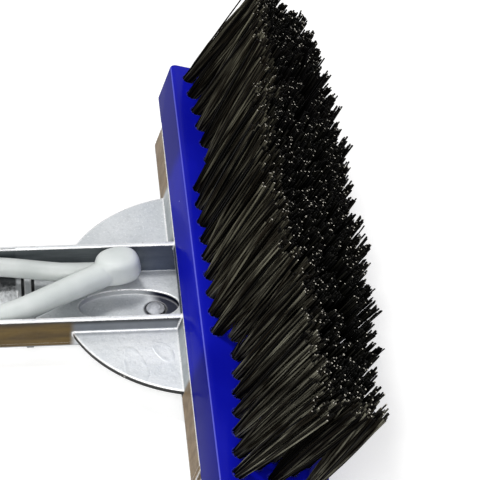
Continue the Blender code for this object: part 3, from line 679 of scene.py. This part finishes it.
def block():
    """The plastic block, with a bored and lightly countersunk hole for each tuft."""
    bm = bmesh.new()
    low = Vector((-BLOCK_LENGTH / 2, 0, BLOCK_BACK - BLOCK_RECESS))
    high = Vector((BLOCK_LENGTH / 2, BLOCK_WIDTH, BLOCK_FACE))
    add_box(bm, (low + high) / 2, high - low)
    round_edges(bm, [edge for edge in bm.edges if rise(edge) > BLOCK_FACE / 2], BLOCK_CORNER_RADIUS, 8)
    round_edges(bm, [edge for edge in bm.edges if rise(edge) < BLOCK_RECESS / 2], BLOCK_EDGE_RADIUS, 3)
    made = new_object("block_body", mesh_of(bm, "block_body"), blue_plastic())

    holes = bmesh.new()
    bored = BLOCK_FACE - COUNTERSINK - TUFT_HOLE_DEPTH / 2
    for x, across in tuft_places():
        place = Matrix.Translation((x, across, bored))
        add_cone(holes, place, TUFT_HOLE_DEPTH, TUFT_HOLE_RADIUS, TUFT_HOLE_RADIUS, 18)
        place = Matrix.Translation((x, across, BLOCK_FACE - COUNTERSINK + SLIGHT))
        low_radius, high_radius = TUFT_HOLE_RADIUS - COUNTERSINK, TUFT_HOLE_RADIUS + COUNTERSINK
        add_cone(holes, place, COUNTERSINK * 2, low_radius, high_radius, 18)
    cut(made, "holes", holes)
    seat = bmesh.new()
    middle = (-BLOCK_SHIFT, BLOCK_WIDTH / 2, BLOCK_BACK - SEAT_CUT / 2)
    add_box(seat, middle, (RAIL_LENGTH + 2 * SEAT_GAP, BLOCK_WIDTH * 2, SEAT_CUT))
    cut(made, "seat", seat)
    pilots = bmesh.new()
    for x, y in SCREW_PLACES:
        place = Matrix.Translation((x - BLOCK_SHIFT, y, 0))
        add_cone(pilots, place, 2 * PILOT_DEPTH, PILOT_RADIUS, PILOT_RADIUS, 16)
    cut(made, "pilots", pilots)
    made.data.transform(BRISTLES)
    smooth(made.data, BLOCK_SHARP)
    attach(made, "brush")
    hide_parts("brush_block")
    return made


def strand(verts, faces, slots, path, radius, turn):
    """Adds one wire along path, with a bright cut face at its far end."""
    first = len(verts)
    along = (path[-1] - path[0]).normalized()
    side = along.orthogonal().normalized()
    other = along.cross(side)
    for point in path:
        for step in range(STRAND_SIDES):
            angle = turn + 2 * math.pi * step / STRAND_SIDES
            verts.append(point + (side * math.cos(angle) + other * math.sin(angle)) * radius)
    for ring in range(len(path) - 1):
        low = first + ring * STRAND_SIDES
        for step in range(STRAND_SIDES):
            after = (step + 1) % STRAND_SIDES
            faces.append((low + step, low + after, low + STRAND_SIDES + after, low + STRAND_SIDES + step))
            slots.append(0)
    faces.append(tuple(range(first + STRAND_SIDES - 1, first - 1, -1)))
    slots.append(0)
    last = first + (len(path) - 1) * STRAND_SIDES
    faces.append(tuple(range(last, last + STRAND_SIDES)))
    slots.append(1)


def between(place, points):
    """The value at place on the line through these (place, value) points."""
    for (start, low), (end, high) in zip(points, points[1:]):
        if place < end:
            return low + (high - low) * max(0, place - start) / (end - start)
    return points[-1][1]


def tuft_form(x, across):
    """(lean across, lean along, tip radius, tip height) of one tuft; the far end's are drawn in."""
    pinch = MIDDLE_PINCH + (END_PINCH - MIDDLE_PINCH) * (2 * x / BLOCK_LENGTH) ** 2
    lean = MEAN_LEAN - pinch * (2 * across / BLOCK_WIDTH - 1)
    side = END_LEAN * 2 * x / BLOCK_LENGTH
    radius = TUFT_TIP_RADIUS
    drawn = max(0, (-x - DRAWN_START) / DRAWN_SPAN)
    widest = ROW_SPACING + ROW_END_SPREAD
    share = min(1, max(0, (across - BLOCK_WIDTH / 2 + widest) / (2 * widest)))
    side += drawn * math.radians(DRAWN_SIDE + DRAWN_FAR_SIDE * share)
    if across < NEAR_SHARE * BLOCK_WIDTH:
        lean += drawn * DRAWN_LEAN
        radius *= 1 - DRAWN_NARROWING * drawn ** 2
    if across > BLOCK_WIDTH / 2 + SHORT_ROW_OFFSET - SLIGHT:
        lean = SHORT_ROW_LEAN
    elif across > FAR_SHARE * BLOCK_WIDTH:
        lean = math.radians(between(x, FAR_LEANS))
    if x > UPRIGHT_START:
        side -= UPRIGHT_SIDE * (x - UPRIGHT_START) / UPRIGHT_SPAN
    return lean, side, radius, TIP_HEIGHT - DRAWN_DROP * drawn ** 2


def towards(turn):
    return Vector((math.cos(turn), math.sin(turn), 0))


def scatter(rng, reach):
    return Vector((rng.gauss(0, reach), rng.gauss(0, reach), 0))


def tufts():
    """Every tuft's wires, from inside its hole to the trimmed tips, gathered in a few loose clumps."""
    rng = random.Random(11)
    verts, faces, slots = [], [], []
    for x, across in tuft_places():
        lean, side, radius, tall = tuft_form(x, across)
        lean += rng.gauss(0, TUFT_LEAN_SPREAD)
        side += rng.gauss(0, TUFT_SIDE_SPREAD)
        foot = Vector((x, across, BLOCK_FACE))
        flare = radius * rng.uniform(0.9, 1.15)
        trim = tall + rng.gauss(TRIM, TRIM_SPREAD)
        start_turn = rng.uniform(0, math.tau)
        clumps = []
        for index in range(CLUMPS):
            turn = start_turn + math.tau * index / CLUMPS + rng.uniform(-0.4, 0.4)
            clumps.append(towards(turn) * rng.uniform(0.35, 0.95))
        for index in range(STRANDS_PER_TUFT):
            turn = index * STRAND_TURN + rng.uniform(-0.3, 0.3)
            out = towards(turn) * math.sqrt((index + 0.5) / STRANDS_PER_TUFT)
            clump = min(clumps, key=lambda place: (place - out).length)
            stray = STRAY_FACTOR if rng.random() < STRAY_SHARE else 1.0
            loose = scatter(rng, STRAND_SCATTER) * stray
            height = trim + rng.gauss(0, STRAND_TRIM_SPREAD)
            start = foot + out * TUFT_FOOT_RADIUS
            top = Vector((height * math.tan(side), height * math.tan(lean), height))
            tip = foot + out.lerp(clump, CLUMPING) * flare + loose + top
            bow = scatter(rng, STRAND_BOW) * stray + out * STRAND_OUTWARD_BOW
            root = start - (tip - start) * STRAND_ROOT
            steps = [step / STRAND_SEGMENTS for step in range(STRAND_SEGMENTS + 1)]
            path = [root.lerp(tip, share) + bow * (4 * share * (1 - share)) for share in steps]
            strand(verts, faces, slots, path, STRAND_RADIUS * rng.uniform(0.85, 1.1), rng.random())
    mesh = bpy.data.meshes.new("tufts")
    mesh.from_pydata([BRISTLES @ point for point in verts], [], faces)
    made = new_object("tufts", mesh, wire(), cut_wire())
    mesh.polygons.foreach_set("material_index", slots)
    smooth(mesh, STRAND_SHARP)
    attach(made, "brush")
    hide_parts(*[f"bristle_bank_{index}" for index in range(1, 6)])
    return made


def clip_height(y):
    share = min(1, max(0, (-y - CLIP_RISE[0]) / (CLIP_RISE[1] - CLIP_RISE[0])))
    return KNOB_CENTRE.z + (TONGUE_AXIS - KNOB_CENTRE.z) * share


def arm_route(side):
    """(place, half width) along one arm, from the knob's middle to the arm's tip."""
    offsets = [ARM_MIDDLE[side], side * ARM_BEND_OFFSET] + [side * ARM_TONGUE_OFFSET] * 3
    root_x = KNOB_CENTRE.x + (LEFT_ROOT_SHIFT if side < 0 else 0)
    places = [(root_x, KNOB_CENTRE.y)] + [(x, -reach) for x, reach in zip(offsets, ARM_REACHES)]
    points = [Vector((x, y, clip_height(y))) for x, y in places]
    middle = ARM_HALF_WIDTH[side]
    root = min(ARM_ROOT_HALF_WIDTH, middle + ARM_ROOT_GROWTH)
    widths = [root, middle, middle, ARM_TIP_HALF_WIDTH, ARM_TIP_HALF_WIDTH, ARM_TIP_HALF_WIDTH]
    route = []
    for index in range(len(points) - 1):
        before = points[max(index - 1, 0)]
        start, end = points[index], points[index + 1]
        after = points[min(index + 2, len(points) - 1)]
        for step in range(ARM_STEPS):
            t = step / ARM_STEPS
            place = 0.5 * (
                2 * start + (end - before) * t + (2 * before - 5 * start + 4 * end - after) * t ** 2
                + (3 * start - before - 3 * end + after) * t ** 3
            )
            route.append((place, widths[index] + (widths[index + 1] - widths[index]) * t))
    return route + [(points[-1], widths[-1])]


def skin(bm, rings):
    """Faces round each pair of neighbouring rings of vertices, and over both ends."""
    for low, high in zip(rings, rings[1:]):
        for step in range(len(low)):
            after = (step + 1) % len(low)
            bm.faces.new((low[step], low[after], high[after], high[step]))
    bm.faces.new(rings[0][::-1])
    bm.faces.new(rings[-1])


def add_tube(bm, route):
    """A round tube along a level route, with a domed end."""
    last, width = route[-1]
    ahead = (last - route[-2][0]).normalized()
    stations = route + [
        (last + ahead * width * ARM_DOME * math.sin(angle), width * math.cos(angle))
        for angle in ARM_DOME_ANGLES
    ]
    turns = [2 * math.pi * step / ARM_SIDES for step in range(ARM_SIDES)]
    rings = []
    for index, (place, half) in enumerate(stations):
        before = stations[max(index - 1, 0)][0]
        after = stations[min(index + 1, len(stations) - 1)][0]
        along = (after - before).normalized()
        across = along.cross(Vector((0, 0, 1))).normalized()
        up = across.cross(along)
        rings.append([
            bm.verts.new(place + across * half * math.cos(turn) + up * half * math.sin(turn))
            for turn in turns
        ])
    skin(bm, rings)


def add_knob(bm):
    """The drum at the clip's root: full sides, a soft crown and a tighter lower rim."""
    turned = Matrix.Rotation(KNOB_TURN, 3, "Z")
    rings = []
    for share, level in KNOB_PROFILE:
        ring = []
        for step in range(KNOB_SIDES):
            angle = math.tau * step / KNOB_SIDES
            cos, sin = math.cos(angle), math.sin(angle)
            away = abs(cos) ** KNOB_SQUARENESS + abs(sin) ** KNOB_SQUARENESS
            full = share / away ** (1 / KNOB_SQUARENESS)
            place = Vector((KNOB_HALF[0] * full * cos, KNOB_HALF[1] * full * sin, level))
            ring.append(bm.verts.new(KNOB_CENTRE + turned @ place))
        rings.append(ring)
    skin(bm, rings)


def clip_piece(name, side, with_knob):
    """One arm of the clip with its button, fused and softened like a moulding."""
    bm = bmesh.new()
    route = arm_route(side)
    add_tube(bm, route if with_knob else route[LEFT_ARM_START:])
    if with_knob:
        add_knob(bm)
    low = Vector((side * ARM_TONGUE_OFFSET, -BUTTON_REACH, TONGUE_AXIS))
    high = Vector((side * BUTTON_END, -BUTTON_REACH, TONGUE_AXIS))
    place = Matrix.Translation((low + high) / 2) @ (high - low).to_track_quat("Z", "Y").to_matrix().to_4x4()
    button = add_cone(bm, place, (high - low).length, BUTTON_RADIUS, BUTTON_RADIUS, 40)
    rim = {
        edge for vert in button for edge in vert.link_edges
        if all(abs(corner.co.x - high.x) < 1e-5 for corner in edge.verts)
    }
    round_edges(bm, list(rim), BUTTON_ROUNDING, 4)
    bmesh.ops.translate(bm, verts=bm.verts, vec=CASTING)
    # painted shade: the left arm's material is darker
    made = new_object(name, mesh_of(bm, name), nylon(name, 1.0 if side > 0 else 0.78))
    remesh = made.modifiers.new("Remesh", "REMESH")
    remesh.mode = "VOXEL"
    remesh.voxel_size = CLIP_VOXEL
    remesh.adaptivity = 0
    soften = made.modifiers.new("Soften", "SMOOTH")
    soften.factor = 0.5
    soften.iterations = 7
    applied(made)
    made.data.shade_smooth()
    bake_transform(made)
    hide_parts(*(["clip_knob", "clip_arm_right"] if side > 0 else ["clip_arm_left"]))
    return made


def dress_nodes():
    """Materials for the nodes that keep their CAD mesh."""
    metal, plated = CastingLook().material, steel()
    for name, node in NODES.items():
        if name == "back_casting" or name == "pocket_rivet" or name.startswith("block_screw"):
            node.data.materials.clear()
            node.data.materials.append(metal if name == "back_casting" else plated)
            smooth(node.data, CASTING_SHARP)


def plain(name, colour, strength):
    """A stage material: diffuse, with a plain white added where the camera or a glossy ray sees it."""
    made = bpy.data.materials.new(name)
    made.use_nodes = True
    nodes = Nodes(made.node_tree)
    nodes.tree.nodes.clear()
    glow = nodes.math("MULTIPLY", nodes.seen_directly(), strength)
    both = nodes.add("ShaderNodeAddShader")
    nodes.feed(both.inputs[0], nodes.add("ShaderNodeBsdfDiffuse", Color=colour).outputs[0])
    nodes.feed(both.inputs[1], nodes.add("ShaderNodeEmission", Strength=glow).outputs[0])
    nodes.add("ShaderNodeOutputMaterial", Surface=both.outputs[0])
    return made


def world():
    """Soft light from all round, and white where the camera or a glossy ray sees it."""
    made = bpy.data.worlds.new("studio")
    bpy.context.scene.world = made
    made.use_nodes = True
    nodes = Nodes(made.node_tree)
    nodes.tree.nodes.clear()
    chosen = nodes.add("ShaderNodeMixShader", Fac=nodes.seen_directly())
    ambient = nodes.add("ShaderNodeBackground", Color=(0.97, 0.98, 1.0), Strength=0.29)
    white = nodes.add("ShaderNodeBackground", Color=(1.0, 1.0, 1.0), Strength=1.0)
    nodes.feed(chosen.inputs[1], ambient.outputs[0])
    nodes.feed(chosen.inputs[2], white.outputs[0])
    nodes.add("ShaderNodeOutputWorld", Surface=chosen.outputs[0])


def lamp(name, place, size, power):
    """A round lamp that looks at the brush."""
    light = bpy.data.lights.new(name, "AREA")
    light.shape = "DISK"
    light.size = size
    light.energy = power
    made = bpy.data.objects.new(name, light)
    made.location = place
    made.rotation_euler = (Vector((0, 0.02, 0.02)) - Vector(place)).to_track_quat("-Z", "Y").to_euler()
    bpy.context.scene.collection.objects.link(made)


def stage():
    bm = bmesh.new()
    bmesh.ops.create_grid(bm, x_segments=8, y_segments=8, size=3)
    floor = new_object("floor", mesh_of(bm, "floor"), plain("floor_pale", (0.82, 0.815, 0.80), 0.46))
    floor.location = (0, 0, -0.0002)
    lamp("key", (-0.28, -0.16, 1.04), 0.22, 4.8)
    lamp("fill", (0.95, -0.20, 0.75), 0.9, 9.6)
    world()


def camera():
    """The photograph's viewing angle, from a fit to the block's and channel's edges."""
    right = Vector((0.09536, 0.99452, 0.04284))
    up = Vector((-0.66816, 0.03204, 0.74333))
    back = Vector((0.73789, -0.09951, 0.66755))
    made = bpy.data.objects.new("camera", bpy.data.cameras.new("camera"))
    made.data.lens = 179.2425
    made.data.sensor_width = 36
    matrix = Matrix((right, up, back)).transposed().to_4x4()
    matrix.translation = CASTING + Vector((0.549265, -0.055252, 0.512042))
    made.matrix_world = matrix
    bpy.context.scene.collection.objects.link(made)
    bpy.context.scene.camera = made


camera()
stage()
dress_nodes()
block()
tufts()
clip_piece("v_clip_right", 1, True)
clip_piece("v_clip_left", -1, False)
bpy.context.scene.view_settings.view_transform = "Standard"
